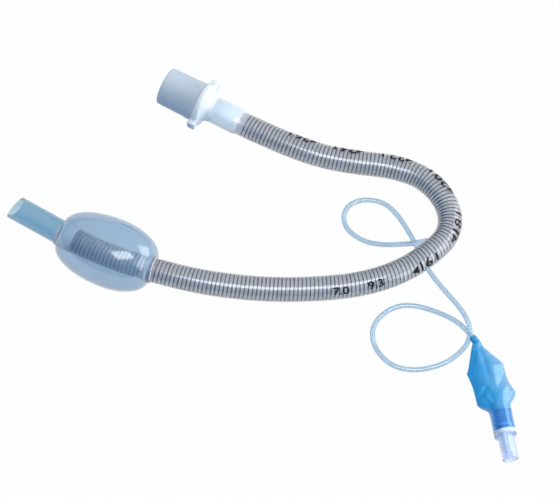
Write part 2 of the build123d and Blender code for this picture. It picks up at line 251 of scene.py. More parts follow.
def carried_wall(rings, sides):
    """A closed wall: a circle carried through the rings and back to the first.

    A ring is its place, its half width, its half height and the material of the span before it.
    """
    shape = bmesh.new()
    sizes = [place @ Matrix.Diagonal((width, height, 1, 1)) for place, width, height, _ in rings]
    finishes = [ring[3] for ring in rings]
    bmesh.ops.create_circle(shape, segments=sides, radius=1, matrix=sizes[0])
    edge_ring = shape.edges[:]
    for before, after, finish in zip(sizes, sizes[1:] + sizes[:1], finishes[1:] + finishes[:1]):
        made = bmesh.ops.extrude_edge_only(shape, edges=edge_ring)["geom"]
        edge_ring = [part for part in made if isinstance(part, bmesh.types.BMEdge)]
        ring_verts = [part for part in made if isinstance(part, bmesh.types.BMVert)]
        for part in made:
            if isinstance(part, bmesh.types.BMFace):
                part.material_index = finish
        bmesh.ops.transform(shape, matrix=after @ before.inverted(), verts=ring_verts)
    bmesh.ops.remove_doubles(shape, verts=shape.verts[:], dist=MERGE)
    bmesh.ops.recalc_face_normals(shape, faces=shape.faces[:])
    return shape


def lengths_between(start, end, step):
    """Even lengths from start to end, about a step apart."""
    count = max(1, round(abs(end - start) / step))
    return [start + (end - start) * number / count for number in range(count + 1)]


def clear_material(name, colour, milk, milk_colour, ior=1.45, roughness=0.04, depth=None, coat=0.0):
    """Clear plastic with a share of milky plastic in it and, where given, a glossy coat.

    Lamp light goes through it to what is inside. Its depth, where given, is the share of each colour
    that a millimetre of it lets through.
    """
    material, shader = plain_material(
        name, colour, Roughness=roughness, IOR=ior, Transmission_Weight=1.0, Coat_Weight=coat,
        Coat_Roughness=COAT_ROUGHNESS,
    )
    nodes, links = material.node_tree.nodes, material.node_tree.links
    if depth:
        losses = [-log(share) / MM for share in depth]
        density = max(losses)
        tint = nodes.new("ShaderNodeVolumeAbsorption")
        tint.inputs["Color"].default_value = (*[1 - loss / density for loss in losses], 1)
        tint.inputs["Density"].default_value = density
        links.new(tint.outputs["Volume"], nodes["Material Output"].inputs["Volume"])
    cloudy = nodes.new("ShaderNodeBsdfPrincipled")
    cloudy.inputs["Base Color"].default_value = (*milk_colour, 1)
    cloudy.inputs["Roughness"].default_value = MILK_ROUGHNESS
    blend = nodes.new("ShaderNodeMixShader")
    blend.inputs["Fac"].default_value = milk
    links.new(shader.outputs["BSDF"], blend.inputs[1])
    links.new(cloudy.outputs["BSDF"], blend.inputs[2])
    rays = nodes.new("ShaderNodeLightPath")
    passing = nodes.new("ShaderNodeBsdfTransparent")
    passing.inputs["Color"].default_value = (*colour, 1)
    mix = nodes.new("ShaderNodeMixShader")
    links.new(rays.outputs["Is Shadow Ray"], mix.inputs["Fac"])
    links.new(blend.outputs["Shader"], mix.inputs[1])
    links.new(passing.outputs["BSDF"], mix.inputs[2])
    links.new(mix.outputs["Shader"], nodes["Material Output"].inputs["Surface"])
    return material


wall_outline = [
    (SLEEVE_START, SPIGOT_ROOM_R),
    (SLEEVE_START, SLEEVE_R - SLEEVE_EDGE),
    (SLEEVE_START + SLEEVE_EDGE, SLEEVE_R),
]
for step in range(TAPER_STEPS + 1):
    share = step / TAPER_STEPS
    radius = WALL_R + (SLEEVE_R - WALL_R) * (1 + cos(pi * share)) / 2
    wall_outline.append((SLEEVE_END - SLEEVE_TAPER * (1 - share), radius))
wall_outline += [(length, WALL_R) for length in lengths_between(SLEEVE_END, WALL_END, RING_STEP)[1:]]
bore_outline = [(length, BORE_R) for length in lengths_between(WALL_END, SLEEVE_END, RING_STEP)]
bore_outline += [(SPIGOT_NOSE, SPIGOT_NOSE_R), (SPIGOT_TAPER, SPIGOT_ROOM_R)]
wall_rings = [(tube.at(length), radius, radius, SKIN) for length, radius in wall_outline]
wall_rings += [(tube.at(length), radius, radius, BORE) for length, radius in bore_outline]
wall = mesh_object("tube_wall", carried_wall(wall_rings, WALL_SIDES))
clear_pvc = clear_material(
    "clear_pvc", (0.96, 0.975, 0.99), milk=0.05, milk_colour=(0.75, 0.77, 0.8), ior=1.52, roughness=0.18,
    depth=(0.93, 0.96, 0.985), coat=1.0,
)
bore_pvc = clear_material(
    "clouded_bore", (0.95, 0.95, 0.95), milk=0.5, milk_colour=(0.88, 0.74, 0.7), roughness=0.3
)
wall.data.materials.append(clear_pvc)
wall.data.materials.append(bore_pvc)
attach(wall, "tube")
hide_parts("shaft_wall")

# Depth print: black ink stamped on the wall's outer side. It gives the bore and the outside
# diameter in millimetres, and the distance to the tip in centimetres, with an arrow and a bar at each.
INK_R = 4.67 * MM
SIZE_DIGITS = 4.3 * MM
DEPTH_DIGITS = 5.4 * MM
DIGIT_WIDENING = 1.15
DIGIT_WEIGHT = 0.018  # of the digits' size
BAR_LENGTH = 0.8 * MM
BAR_HEIGHT = 3.4 * MM
ARROW_WIDTH = 3.7 * MM
ARROW_HEIGHT = 3.8 * MM
STRIP = 0.35 * MM  # a mark is cut into strips this wide, which lets it bend round the wall
# each row: what is printed, with | for a bar and ^ for an arrow, how far its middle stands from the
# flange in millimetres, and its turn from the wall's top in degrees
PRINTED = [
    ("7.0", 167.2, 44), ("9.3", 154.4, 42), ("^", 139.0, 52), ("16", 135.0, 52), ("|", 129.6, 52),
    ("^", 120.3, 50), ("18", 116.4, 47), ("|", 111.2, 47), ("^", 102.1, 47), ("20", 97.6, 44),
    ("|", 92.6, 48), ("^", 84.0, 44), ("22", 79.8, 42), ("|", 74.6, 42), ("^", 65.4, 44),
    ("24", 61.2, 44), ("|", 56.0, 44), ("^", 46.8, 46), ("26", 42.6, 46), ("|", 37.6, 46),
]


def flat_mark(kind):
    """A flat printed shape about its middle, reading along X."""
    shape = bmesh.new()
    if kind == "|":
        size = Matrix.Diagonal((BAR_LENGTH / 2, BAR_HEIGHT / 2, 1, 1))
        bmesh.ops.create_grid(shape, x_segments=1, y_segments=1, size=1, matrix=size)
    elif kind == "^":
        size = Matrix.Diagonal((ARROW_WIDTH / 2, ARROW_HEIGHT / 2, 1, 1))
        size = size @ Matrix.Rotation(radians(90), 4, "Z")
        bmesh.ops.create_circle(shape, segments=3, radius=1, cap_ends=True, matrix=size)
    else:
        data = bpy.data.curves.new("digits", "FONT")
        data.body = kind
        data.size = SIZE_DIGITS if "." in kind else DEPTH_DIGITS
        data.align_x = "CENTER"
        data.align_y = "CENTER"
        data.offset = DIGIT_WEIGHT * data.size
        writing = bpy.data.objects.new("digits", data)
        flat = bpy.data.meshes.new_from_object(writing)
        shape.from_mesh(flat)
        bmesh.ops.scale(shape, vec=(DIGIT_WIDENING, 1, 1), verts=shape.verts[:])
        bpy.data.objects.remove(writing)
        bpy.data.meshes.remove(flat)
    return shape


def stamp(shape, middle, turn):
    """Wrap a flat mark round the wall, at a length from the flange and a turn from its top."""
    reach = max(abs(vert.co.y) for vert in shape.verts)
    for cut in lengths_between(-reach, reach, STRIP):
        bmesh.ops.bisect_plane(
            shape, geom=shape.verts[:] + shape.edges[:] + shape.faces[:], dist=MERGE, plane_co=(0, cut, 0),
            plane_no=(0, 1, 0),
        )
    for vert in shape.verts:
        angle = turn - vert.co.y / INK_R
        spot = tube.at(middle - vert.co.x)
        vert.co = spot @ Vector((-INK_R * sin(angle), INK_R * cos(angle), 0))


ink_shape = bmesh.new()
for kind, middle, turn in PRINTED:
    mark = flat_mark(kind)
    stamp(mark, middle * MM, radians(turn))
    flat = bpy.data.meshes.new("mark")
    mark.to_mesh(flat)
    mark.free()
    ink_shape.from_mesh(flat)
    bpy.data.meshes.remove(flat)
ink_print = mesh_object("depth_print", ink_shape)
ink, ink_shader = plain_material("black_ink", (0.008, 0.009, 0.012), Specular_IOR_Level=0.15)
uneven_gloss(ink, ink_shader, scale=1500, low=0.4, high=0.6)
ink_print.data.materials.append(ink)
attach(ink_print, "tube")

# Tip: a softer tube with no wire, bonded on, with a mouth cut on a slant that faces up and a rim
# polished round. It has a blue tint.
TIP_START = WALL_END
BEVEL_ANGLE = radians(57)
RIM_ROUND = 0.35 * MM
RIM_ANGLE = radians(50)  # edges sharper than this are rounded
tip_lengths = lengths_between(TIP_START, tube.length, RING_STEP)
tip_rings = [(tube.at(length), WALL_R, WALL_R, SKIN) for length in tip_lengths]
tip_rings += [(tube.at(length), BORE_R, BORE_R, SKIN) for length in tip_lengths[::-1]]
tip_shape = carried_wall(tip_rings, WALL_SIDES)
bevel_dir = tip_dir * sin(BEVEL_ANGLE) + Vector((0, 0, 1)) * cos(BEVEL_ANGLE)
cut = bmesh.ops.bisect_plane(
    tip_shape, geom=tip_shape.verts[:] + tip_shape.edges[:] + tip_shape.faces[:], dist=MERGE / 10,
    plane_co=tip_end - Vector((0, 0, WALL_R)), plane_no=bevel_dir, clear_outer=True,
)
rim = [part for part in cut["geom_cut"] if isinstance(part, bmesh.types.BMEdge)]
bmesh.ops.bridge_loops(tip_shape, edges=rim)
bmesh.ops.recalc_face_normals(tip_shape, faces=tip_shape.faces[:])
tip = mesh_object("bevelled_tip", tip_shape)
rounding = tip.modifiers.new("polished_rim", "BEVEL")
rounding.width = RIM_ROUND
rounding.segments = 4
rounding.limit_method = "ANGLE"
rounding.angle_limit = RIM_ANGLE
tip_pvc = clear_material(
    "tinted_pvc", (0.88, 0.93, 0.95), milk=0.16, milk_colour=(0.42, 0.58, 0.7), ior=1.4, roughness=0.1,
    depth=(0.66, 0.81, 0.89), coat=0.6,
)
tip.data.materials.append(tip_pvc)
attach(tip, "tube")
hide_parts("tip")

# Cuff: a barrel of thin blown film, frosted and faintly blue. Its ends are turned inwards and bonded
# to the tube as two milky collars. It is inflated.
CUFF_R = 13.15 * MM
CUFF_NEAR = 10.3 * MM  # past the last corner but one
CUFF_FAR = 16.8 * MM  # past the last corner
CUFF_FILM = 0.16 * MM
CROWN_SHARE = 0.46  # of its length, from the machine end to where it is widest
COLLAR_R = 5.1 * MM
COLLAR_BORE_R = 4.67 * MM
LIP_ROUND = 0.3 * MM  # of the collars
COLLAR_OUTSIDE = 0.8 * MM
COLLAR_INSIDE = 6 * MM  # of the collar at the tip's end
NEAR_COLLAR_INSIDE = 2 * MM
SHOULDER_STEPS = 22
CUFF_SIDES = 96
FILM, BONDED = 0, 1  # the cuff's materials
near_dir = (corners[-2] - corners[-1]).normalized()
cuff_near = corners[-2] - near_dir * CUFF_NEAR
cuff_far = corners[-1] + tip_dir * CUFF_FAR
cuff_dir = (cuff_far - cuff_near).normalized()
cuff_length = (cuff_far - cuff_near).length


def barrel_rings(skin):
    """The barrel's skin from its machine end to its tip end, this far inside the outer one."""
    rise = CUFF_R - skin - COLLAR_R
    near_run = CROWN_SHARE * cuff_length - skin
    far_run = (1 - CROWN_SHARE) * cuff_length - skin
    turns = [pi / 2 * step / SHOULDER_STEPS for step in range(SHOULDER_STEPS + 1)]
    profile = [(skin + near_run * (1 - cos(turn)), COLLAR_R + rise * sin(turn)) for turn in turns]
    profile += [
        (cuff_length - skin - far_run * (1 - cos(turn)), COLLAR_R + rise * sin(turn))
        for turn in turns[-2::-1]
    ]
    places = [place_along(cuff_near + cuff_dir * length, cuff_dir) for length, _ in profile]
    return [(place, radius, radius, FILM) for place, (_, radius) in zip(places, profile)]


def near_ring(outwards, radius):
    """A ring of the collar at the machine end."""
    return place_along(cuff_near + near_dir * outwards, -near_dir), radius, radius, BONDED


def far_ring(outwards, radius):
    """A ring of the collar at the tip's end."""
    return place_along(cuff_far + tip_dir * outwards, tip_dir), radius, radius, BONDED


cuff_rings = [
    near_ring(COLLAR_OUTSIDE, COLLAR_R - LIP_ROUND),
    near_ring(COLLAR_OUTSIDE - LIP_ROUND, COLLAR_R),
]
cuff_rings += barrel_rings(0)
cuff_rings += [
    far_ring(COLLAR_OUTSIDE - LIP_ROUND, COLLAR_R),
    far_ring(COLLAR_OUTSIDE, COLLAR_R - LIP_ROUND),
    far_ring(COLLAR_OUTSIDE, COLLAR_BORE_R),
    far_ring(-COLLAR_INSIDE, COLLAR_BORE_R),
    far_ring(-COLLAR_INSIDE, COLLAR_R - LIP_ROUND),
    far_ring(LIP_ROUND - COLLAR_INSIDE, COLLAR_R),
]
inner_skin = barrel_rings(CUFF_FILM)[::-1]
inner_skin[0] = (*inner_skin[0][:3], BONDED)  # the span before it is the collar's outside
cuff_rings += inner_skin
cuff_rings += [
    near_ring(LIP_ROUND - NEAR_COLLAR_INSIDE, COLLAR_R),
    near_ring(-NEAR_COLLAR_INSIDE, COLLAR_R - LIP_ROUND),
    near_ring(-NEAR_COLLAR_INSIDE, COLLAR_BORE_R),
    near_ring(COLLAR_OUTSIDE, COLLAR_BORE_R),
]
cuff = mesh_object("inflated_cuff", carried_wall(cuff_rings, CUFF_SIDES))
cuff_film = clear_material(
    "cuff_film", (0.97, 0.98, 0.99), milk=0.16, milk_colour=(0.34, 0.46, 0.62), ior=1.4, roughness=0.15,
    depth=(0.16, 0.36, 0.58), coat=1.0,
)
cuff_bond = clear_material(
    "bonded_film", (0.97, 0.97, 0.98), milk=0.75, milk_colour=(0.86, 0.82, 0.84), ior=1.2, roughness=0.25
)
cuff.data.materials.append(cuff_film)
cuff.data.materials.append(cuff_bond)
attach(cuff, "tube")
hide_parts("cuff")

# Connector: one moulding in white polypropylene, a little see-through where it is thin. It has a
# 15 mm cone, a flange with two lugs to pull on, and a spigot that is pushed into the tube.
LUG_REACH = 10.5 * MM
LUG_ROOT = 7.1 * MM
LUG_WIDTH = 3.0 * MM
LUG_HEIGHT = 4.2 * MM
LUG_ROUND = 0.25 * MM
LUG_SET_BACK = 0.1 * MM
CONNECTOR_SIDES = 96
FLANGE_WHITE = (0.82, 0.88, 0.93)
CONE_WHITE = (0.62, 0.73, 0.82)
WHITES_FROM, WHITES_TO = -0.5 * MM, 2.5 * MM  # past the flange's face, where the one becomes the other
# its outline: radius and height over the flange's face, in millimetres
CONNECTOR_OUTLINE = [
    (3.3, -17.7), (3.75, -17.7), (4.15, -16.2), (4.15, -6.4), (4.95, -6.4), (5.1, -6.25), (5.1, -5.8),
    (5.25, -5.0), (5.65, -4.3), (6.3, -3.7), (7.0, -3.35), (7.5, -3.2), (8.05, -3.06), (8.45, -2.65),
    (8.6, -2.1), (8.6, -0.7), (8.42, -0.2), (7.98, 0), (7.75, 0.15), (7.75, 2.85), (7.66, 3), (7.6, 3.1),
    (7.46, 14.4), (7.36, 14.8), (7.1, 15), (6.4, 15), (6.1, 14.88), (6, 14.6), (6, 3), (3.3, -6.4),
]


def turned_shape(place, outline, sides):
    """A closed outline of radius and height in millimetres, spun about the place's Z."""
    shape = bmesh.new()
    points = [shape.verts.new((radius * MM, 0, height * MM)) for radius, height in outline]
    for start, end in zip(points, points[1:] + points[:1]):
        shape.edges.new((start, end))
    bmesh.ops.spin(
        shape, geom=shape.verts[:] + shape.edges[:], cent=(0, 0, 0), axis=(0, 0, 1), angle=tau, steps=sides,
        use_merge=True,
    )
    bmesh.ops.remove_doubles(shape, verts=shape.verts[:], dist=MERGE)
    bmesh.ops.recalc_face_normals(shape, faces=shape.faces[:])
    bmesh.ops.transform(shape, matrix=place, verts=shape.verts[:])
    return shape


machine_end = place_along(flange, machine_dir)
connector = mesh_object("cone_connector", turned_shape(machine_end, CONNECTOR_OUTLINE, CONNECTOR_SIDES))
for hand in (1, -1):  # the two lugs, joined into the moulding
    lug_shape = bmesh.new()
    middle = Vector((hand * (LUG_REACH + LUG_ROOT) / 2, 0, -LUG_SET_BACK - LUG_WIDTH / 2))
    size = Matrix.Diagonal((LUG_REACH - LUG_ROOT, LUG_HEIGHT, LUG_WIDTH, 1))
    bmesh.ops.create_cube(lug_shape, size=1, matrix=machine_end @ Matrix.Translation(middle) @ size)
    bmesh.ops.bevel(
        lug_shape, geom=lug_shape.edges[:], offset=LUG_ROUND, segments=4, profile=0.5, affect="EDGES",
        material=-1,
    )
    lug = mesh_object("lug", lug_shape)
    union = connector.modifiers.new("lug", "BOOLEAN")
    union.operation = "UNION"
    union.object = lug
    bpy.context.view_layer.objects.active = connector
    bpy.ops.object.modifier_apply(modifier=union.name)
    bpy.data.objects.remove(lug)


def shade_along(material, shader, origin, along, start, end, colours, scale, strength):
    """A base colour that passes from one to another along a direction, uneven with soft noise."""
    nodes, links = material.node_tree.nodes, material.node_tree.links
    place = nodes.new("ShaderNodeTexCoord")
    offset = nodes.new("ShaderNodeVectorMath")
    offset.operation = "SUBTRACT"
    offset.inputs[1].default_value = origin
    reach = nodes.new("ShaderNodeVectorMath")
    reach.operation = "DOT_PRODUCT"
    reach.inputs[1].default_value = along
    spread = nodes.new("ShaderNodeMapRange")
    spread.interpolation_type = "SMOOTHSTEP"
    spread.inputs["From Min"].default_value = start
    spread.inputs["From Max"].default_value = end
    blend = nodes.new("ShaderNodeMix")
    blend.data_type = "RGBA"
    blend.inputs["A"].default_value = (*colours[0], 1)
    blend.inputs["B"].default_value = (*colours[1], 1)
    links.new(place.outputs["Object"], offset.inputs[0])
    links.new(offset.outputs["Vector"], reach.inputs[0])
    links.new(reach.outputs["Value"], spread.inputs["Value"])
    uneven = nodes.new("ShaderNodeMath")
    uneven.operation = "ADD"
    uneven.use_clamp = True
    links.new(spread.outputs["Result"], uneven.inputs[0])
    links.new(noise_between(material, scale, -strength, strength), uneven.inputs[1])
    links.new(uneven.outputs["Value"], blend.inputs["Factor"])
    links.new(blend.outputs["Result"], shader.inputs["Base Color"])


white_pp, white_shader = plain_material(
    "white_polypropylene", FLANGE_WHITE, Subsurface_Weight=0.15, Subsurface_Scale=1 * MM
)
white_shader.inputs["Subsurface Radius"].default_value = (0.6, 0.85, 1.2)
uneven_gloss(white_pp, white_shader, scale=400, low=0.27, high=0.38)
shade_along(
    white_pp, white_shader, flange, machine_dir, WHITES_FROM, WHITES_TO, (FLANGE_WHITE, CONE_WHITE),
    scale=120, strength=0.06,
)
connector.data.materials.clear()
connector.data.materials.append(white_pp)
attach(connector, "tube")
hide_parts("connector")

# Inflation line: small-bore clear tubing that carries air to the cuff. It leaves the wall at the
# inside of the bend and lies on the table in two loose loops on its way to the pilot balloon.
LINE_R = 0.975 * MM
LINE_BORE_R = 0.5 * MM
# in millimetres
LINE_ROUTE = [
    (67.2, -23.3, 5.6),
    (61.5, -23, 3.8),
    (55, -22.4, 2.0),
    (48, -20.4, 1.1),
    (42.3, -15.8, 1),
    (40.8, -10.5, 1),
    (42.6, -6, 1),
    (46.6, -3.6, 1),
    (51.5, -3.2, 1),
    (57.2, -4.8, 1),
    (62, -10, 1),
    (67.5, -20, 1),
    (72, -31.5, 1),
    (78, -40, 1),
    (85, -48.5, 1),
    (88, -56, 1),
    (86, -63, 1),
    (77.5, -70, 1),
    (66, -72.5, 1),
    (57, -70, 1),
    (51, -62, 1),
    (51.5, -53.5, 1),
    (58, -47.5, 1),
    (65.5, -46, 1),
    (74.5, -48.7, 1.3),
    (81.5, -52.8, 2.8),
    (85.6, -56.8, 3.8),
    (89.3, -62.3, 4.2),
]
line_pvc = clear_material(
    "line_pvc", (0.95, 0.97, 0.99), milk=0.08, milk_colour=(0.5, 0.62, 0.72), ior=1.42, roughness=0.1,
    depth=(0.58, 0.73, 0.84), coat=0.6,
)
route = [metres(point) for point in LINE_ROUTE]
inflation_line = spline_object("inflation_line_tube", route)
inflation_line.data.bevel_depth = LINE_R
inflation_line.data.bevel_resolution = 7
inflation_line.data.materials.append(line_pvc)
line_wall = inflation_line.modifiers.new("bore", "SOLIDIFY")
line_wall.thickness = LINE_R - LINE_BORE_R
line_wall.offset = -1
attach(inflation_line, "tube")
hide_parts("inflation_line")

# Line bond: a drop of PVC, drawn out along the line where it leaves the tube's wall. Its shape is a
# merged copy of the CAD node, shaded smooth.
bond_pvc = clear_material("bond_pvc", (0.7, 0.82, 0.92), milk=0.3, milk_colour=(0.42, 0.55, 0.68), ior=1.4)
bond_shape = bmesh.new()
bond_shape.from_mesh(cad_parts["line_bond"].data)
bmesh.ops.remove_doubles(bond_shape, verts=bond_shape.verts[:], dist=MERGE)
bond = mesh_object("line_bond_drop", bond_shape)
bond.data.materials.append(bond_pvc)
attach(bond, "tube")
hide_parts("line_bond")

# Pilot balloon: a pouch of blue film with welded corners, creased where it has sunk, between the neck
# that holds the line and the sleeve that holds the valve. Neck, pouch and sleeve are one blown film.
VALVE_SLEEVE_START = (96.9, -88.3, 4.2)  # in millimetres
VALVE_ANGLE = radians(-80.5)  # on the table, from +X
VALVE_SLEEVE_R = 4.15 * MM
VALVE_SLEEVE_BORE_R = 3.68 * MM
VALVE_SLEEVE_LENGTH = 9.7 * MM
VALVE_SLEEVE_ROOT = 0.8 * MM  # the film has turned into the sleeve by here
SLEEVE_RIM = 1.4 * MM  # its thick, pale end
MOUTH_ROUND = 0.15 * MM
NECK_R = 1.45 * MM
NECK_BORE_R = 1.0 * MM
NECK_BACK = 2.5 * MM  # the neck's reach back over the line
FILM_THICKNESS = 0.3 * MM
BALLOON_SIDES = 72
RIM = 2  # its third material, after the film's and the sleeve's
# each row, in millimetres: how far along from the neck, its reach to the right and to the left, its
# half height, and how flat its edges are pinched
POUCH = [
    (0.0, 1.5, 1.5, 1.45, 0.0),
    (2.4, 1.9, 2.9, 1.9, 0.25),
    (6.0, 4.0, 4.6, 2.5, 0.5),
    (8.7, 5.8, 5.9, 3.0, 0.6),
    (10.8, 6.8, 7.3, 3.3, 0.65),
    (13.1, 6.6, 7.1, 3.5, 0.6),
    (15.4, 6.4, 6.9, 3.65, 0.5),
    (17.9, 6.5, 7.0, 3.8, 0.45),
    (20.0, 7.0, 7.15, 3.9, 0.4),
    (22.2, 7.6, 7.35, 4.0, 0.4),
    (23.6, 7.2, 7.5, 4.05, 0.35),
    (24.9, 5.9, 6.5, 4.1, 0.2),
    (25.9, 4.8, 5.2, 4.12, 0.05),
    (27.0, 4.15, 4.15, 4.15, 0.0),
]
POUCH_LENGTH = POUCH[-1][0]
POUCH_STEP = 0.45
# each row, in millimetres: where a crease starts and where it ends, each along and across, its depth
# and its half width
CREASES = [
    (1.5, -0.4, 17.5, 0.6, 0.75, 0.9),
    (2.5, 0.9, 11.0, 6.2, 0.45, 0.7),
    (11.5, -6.8, 20.5, -1.6, 0.5, 1.1),
    (18.0, 1.8, 22.0, 6.8, 0.7, 0.8),
    (19.8, 2.4, 25.4, 1.6, 0.6, 0.7),
    (20.5, -5.6, 25.6, -3.0, 0.5, 0.8),
    (21.8, 4.9, 26.0, 3.0, 0.5, 0.6),
]
CREASE_FADE = 2  # creases fade out this far before the neck and the sleeve
CREASE_ENDS = 0.02  # share of a crease, at each end, along which it no longer thins out
SMOOTH_START, SMOOTH_END = 1, POUCH_LENGTH - 0.5
SMOOTHING = 0.4
neck_point = route[-1]
sleeve_point = metres(VALVE_SLEEVE_START)
pouch_dir = (sleeve_point - neck_point).normalized()
valve_dir = Vector((cos(VALVE_ANGLE), sin(VALVE_ANGLE), 0))
neck_dir = (route[-1] - route[-2]).normalized()


def pouch_row(along):
    """The pouch's reach, height and pinch at a distance, in line between the rows of the table."""
    for before, after in zip(POUCH, POUCH[1:]):
        if along <= after[0]:
            share = (along - before[0]) / (after[0] - before[0])
            return [first + (second - first) * share for first, second in zip(before[1:], after[1:])]
    return POUCH[-1][1:]


def pouch_rings(skin):
    """The pouch's skin from neck to sleeve, this far inside the outer one."""
    rings = []
    for along in lengths_between(0, POUCH_LENGTH, POUCH_STEP):
        right, left, height, _ = pouch_row(along)
        middle = neck_point + pouch_dir * along * MM
        place = place_along(middle, pouch_dir) @ Matrix.Translation(((left - right) / 2 * MM, 0, 0))
        rings.append((place, (right + left) / 2 * MM - skin, height * MM - skin, FILM))
    return rings


def balloon_ring(point, along, radius, finish):
    """A round ring of the neck or the sleeve."""
    return place_along(point, along), radius, radius, finish


neck_end = neck_point - neck_dir * NECK_BACK
sleeve_root = sleeve_point + valve_dir * VALVE_SLEEVE_ROOT
sleeve_mouth = sleeve_point + valve_dir * VALVE_SLEEVE_LENGTH
rim_start = sleeve_mouth - valve_dir * SLEEVE_RIM
balloon_rings = [balloon_ring(neck_end, neck_dir, NECK_R, FILM)]
balloon_rings += pouch_rings(0)
balloon_rings += [
    balloon_ring(sleeve_root, valve_dir, VALVE_SLEEVE_R, FILM),
    balloon_ring(rim_start, valve_dir, VALVE_SLEEVE_R, BONDED),
    balloon_ring(sleeve_mouth - valve_dir * MOUTH_ROUND, valve_dir, VALVE_SLEEVE_R, RIM),
    balloon_ring(sleeve_mouth, valve_dir, VALVE_SLEEVE_R - MOUTH_ROUND, RIM),
    balloon_ring(sleeve_mouth, valve_dir, VALVE_SLEEVE_BORE_R, RIM),
    balloon_ring(rim_start, valve_dir, VALVE_SLEEVE_BORE_R, RIM),
    balloon_ring(sleeve_root, valve_dir, VALVE_SLEEVE_BORE_R, BONDED),
]
balloon_rings += pouch_rings(FILM_THICKNESS)[::-1]
balloon_rings += [balloon_ring(neck_end, neck_dir, NECK_BORE_R, FILM)]
balloon_shape = carried_wall(balloon_rings, BALLOON_SIDES)
pouch_place = place_along(neck_point, pouch_dir)
pouch_space = pouch_place.inverted()
for vert in balloon_shape.verts:
    across, height, along = pouch_space @ vert.co / MM
    if not 0 < along < POUCH_LENGTH:
        continue
    right, left, _, pinch = pouch_row(along)
    edge_share = min(1, abs(across - (left - right) / 2) / ((left + right) / 2))
    height *= 1 - pinch * edge_share**2
    fade = min(1, along / CREASE_FADE, (POUCH_LENGTH - along) / CREASE_FADE) * max(0, 1 - edge_share**4)
    for start_along, start_across, end_along, end_across, depth, width in CREASES:
        run = Vector((end_along - start_along, end_across - start_across))
        spot = Vector((along - start_along, across - start_across))
        share = min(1, max(0, spot.dot(run) / run.length_squared))
        gap = (spot - run * share).length / width
        taper = sin(pi * min(1 - CREASE_ENDS, max(CREASE_ENDS, share))) ** 0.5
        if height > 0:
            height -= depth * fade * taper * exp(-gap * gap)
    vert.co = pouch_place @ (Vector((across, height, along)) * MM)
bmesh.ops.smooth_vert(
    balloon_shape,
    verts=[v for v in balloon_shape.verts if SMOOTH_START < (pouch_space @ v.co / MM).z < SMOOTH_END],
    factor=SMOOTHING, use_axis_x=True, use_axis_y=True, use_axis_z=True,
)
bmesh.ops.recalc_face_normals(balloon_shape, faces=balloon_shape.faces[:])
balloon = mesh_object("pilot_balloon_film", balloon_shape)


def tinted_film_painted_light(name, colours, ior, roughness, milk, milk_colours, start, end):
    """Blue film, clear and cloudy, whose colour passes from one side of the pouch to the other: paler on
    the side towards the right-hand window panes and deeper blue on the other, which is painted light and
    shade.
    """
    material = clear_material(
        name, colours[0], milk=milk, milk_colour=milk_colours[0], ior=ior, roughness=roughness, coat=1.0
    )
    side = pouch_place.to_3x3() @ Vector((1, 0, 0))
    shaders = [node for node in material.node_tree.nodes if node.type == "BSDF_PRINCIPLED"]
    for shader, pair in zip(shaders, (colours, milk_colours)):
        shade_along(material, shader, neck_point, side, start, end, pair, scale=160, strength=0.3)
    return material


# The pouch and the sleeve are painted paler on their side towards the right-hand window panes and deeper
# blue on the other side: painted light and shade on the blue film.
pouch_film = tinted_film_painted_light(
    "pouch_film", ((0.6, 0.83, 0.94), (0.27, 0.73, 0.92)), ior=1.2, roughness=0.12, milk=0.38,
    milk_colours=((0.2, 0.45, 0.68), (0.03, 0.36, 0.64)), start=-6 * MM, end=3 * MM,
)
sleeve_film = tinted_film_painted_light(
    "sleeve_film", ((0.62, 0.86, 0.93), (0.3, 0.6, 0.88)), ior=1.04, roughness=0.1, milk=0.1,
    milk_colours=((0.1, 0.45, 0.7), (0.02, 0.16, 0.42)), start=-10 * MM, end=-2 * MM,
)
sleeve_rim = clear_material(
    "sleeve_rim", (0.86, 0.92, 0.98), milk=0.55, milk_colour=(0.84, 0.88, 0.95), ior=1.2, roughness=0.15,
    coat=1.0,
)
balloon.data.materials.append(pouch_film)
balloon.data.materials.append(sleeve_film)
balloon.data.materials.append(sleeve_rim)
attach(balloon, "tube")
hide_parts("pilot_balloon")

# One-way valve: a clear luer housing with a white plunger, a rubber seal and a tail plug. A syringe's
# tip pushes the plunger in.
clear_valve = clear_material(
    "clear_housing", (0.8, 0.88, 0.98), milk=0.22, milk_colour=(0.55, 0.64, 0.86), ior=1.3, roughness=0.1,
    coat=1.0,
)
white_valve, white_valve_shader = plain_material("white_plunger", (0.9, 0.93, 0.96))
uneven_gloss(white_valve, white_valve_shader, scale=700, low=0.3, high=0.42)
rubber, rubber_shader = plain_material("seal_rubber", (0.1, 0.1, 0.11))
uneven_gloss(rubber, rubber_shader, scale=700, low=0.6, high=0.8)
for node, material, slot in (
    ("valve_housing", clear_valve, "clear_valve"),
    ("valve_tail", clear_valve, "clear_valve"),
    ("valve_plunger", white_valve, "white_valve"),
    ("valve_seal", rubber, "seal_rubber"),
):
    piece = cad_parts[node]
    piece.data.materials.clear()
    piece.data.materials.append(material)

